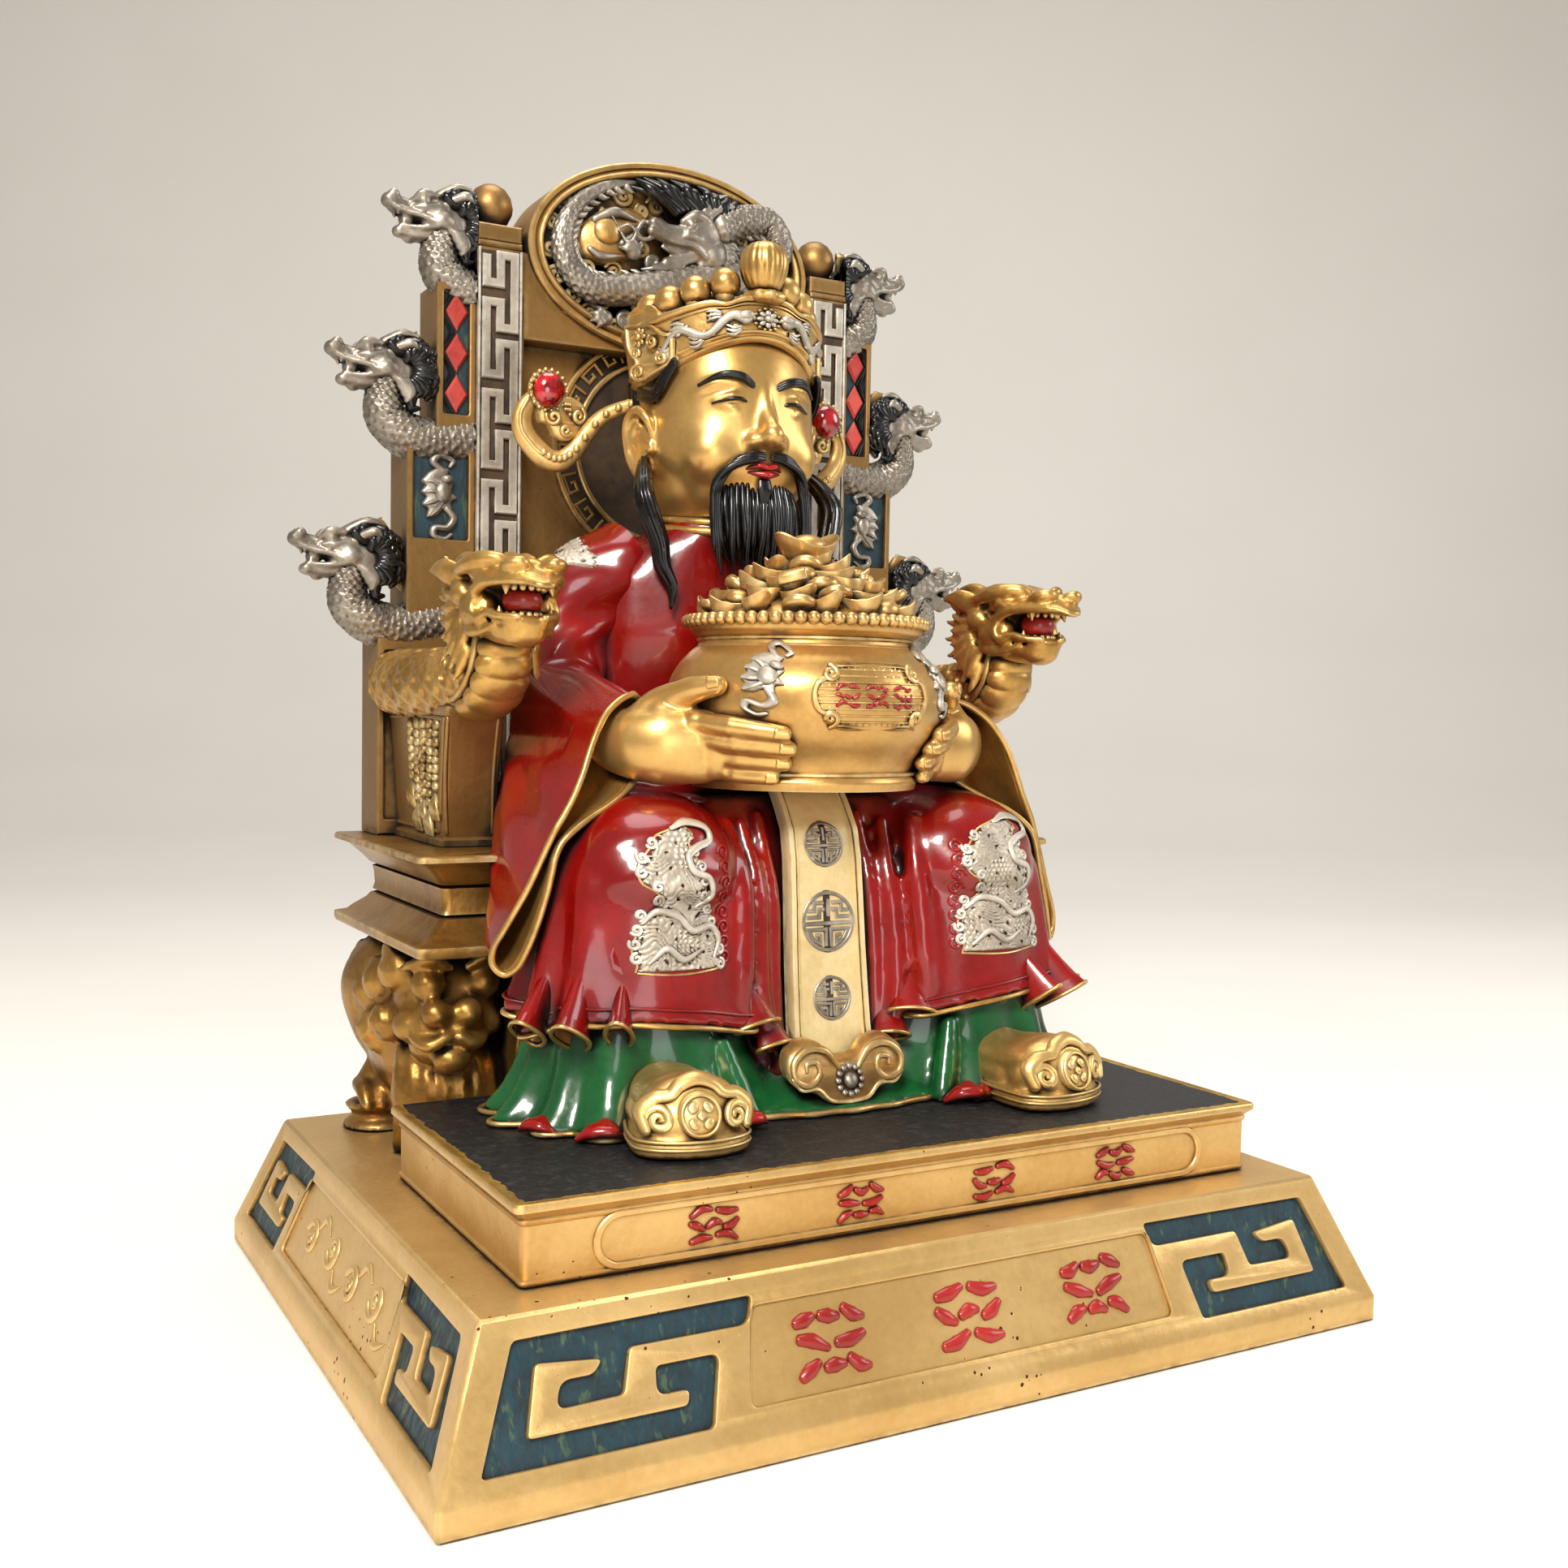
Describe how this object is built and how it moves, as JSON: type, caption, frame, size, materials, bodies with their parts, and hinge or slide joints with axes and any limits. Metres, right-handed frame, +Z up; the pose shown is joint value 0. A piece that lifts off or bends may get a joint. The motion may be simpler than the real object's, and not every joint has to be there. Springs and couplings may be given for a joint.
{
  "type": "caishen altar figure",
  "caption": "Seated figure of the god of wealth on a dragon throne, holding a treasure bowl, on a stepped plinth with meander keys.",
  "frame": {"origin": "middle of the plinth's underside, which is the bottom centre of the whole object", "axes": "+Z up, the figure faces -Y, +X to the viewer's right; the long way of the plinth lies along X"},
  "size_m": [0.34, 0.265, 0.4363],
  "materials": {
    "plinth_gold": "satin",
    "step_gold": "satin",
    "throne_gold": "satin",
    "red_lacquer": "gloss",
    "bowl_gold": "satin",
    "wing_gold": "satin"
  },
  "bodies": {
    "root": {"plinth_lower": "plinth_gold", "plinth_upper": "step_gold", "throne_base": "throne_gold", "throne_back": "throne_gold", "figure": "red_lacquer", "treasure_bowl": "bowl_gold", "hat_wing_left": "wing_gold", "hat_wing_right": "wing_gold"}
  },
  "joints": []
}
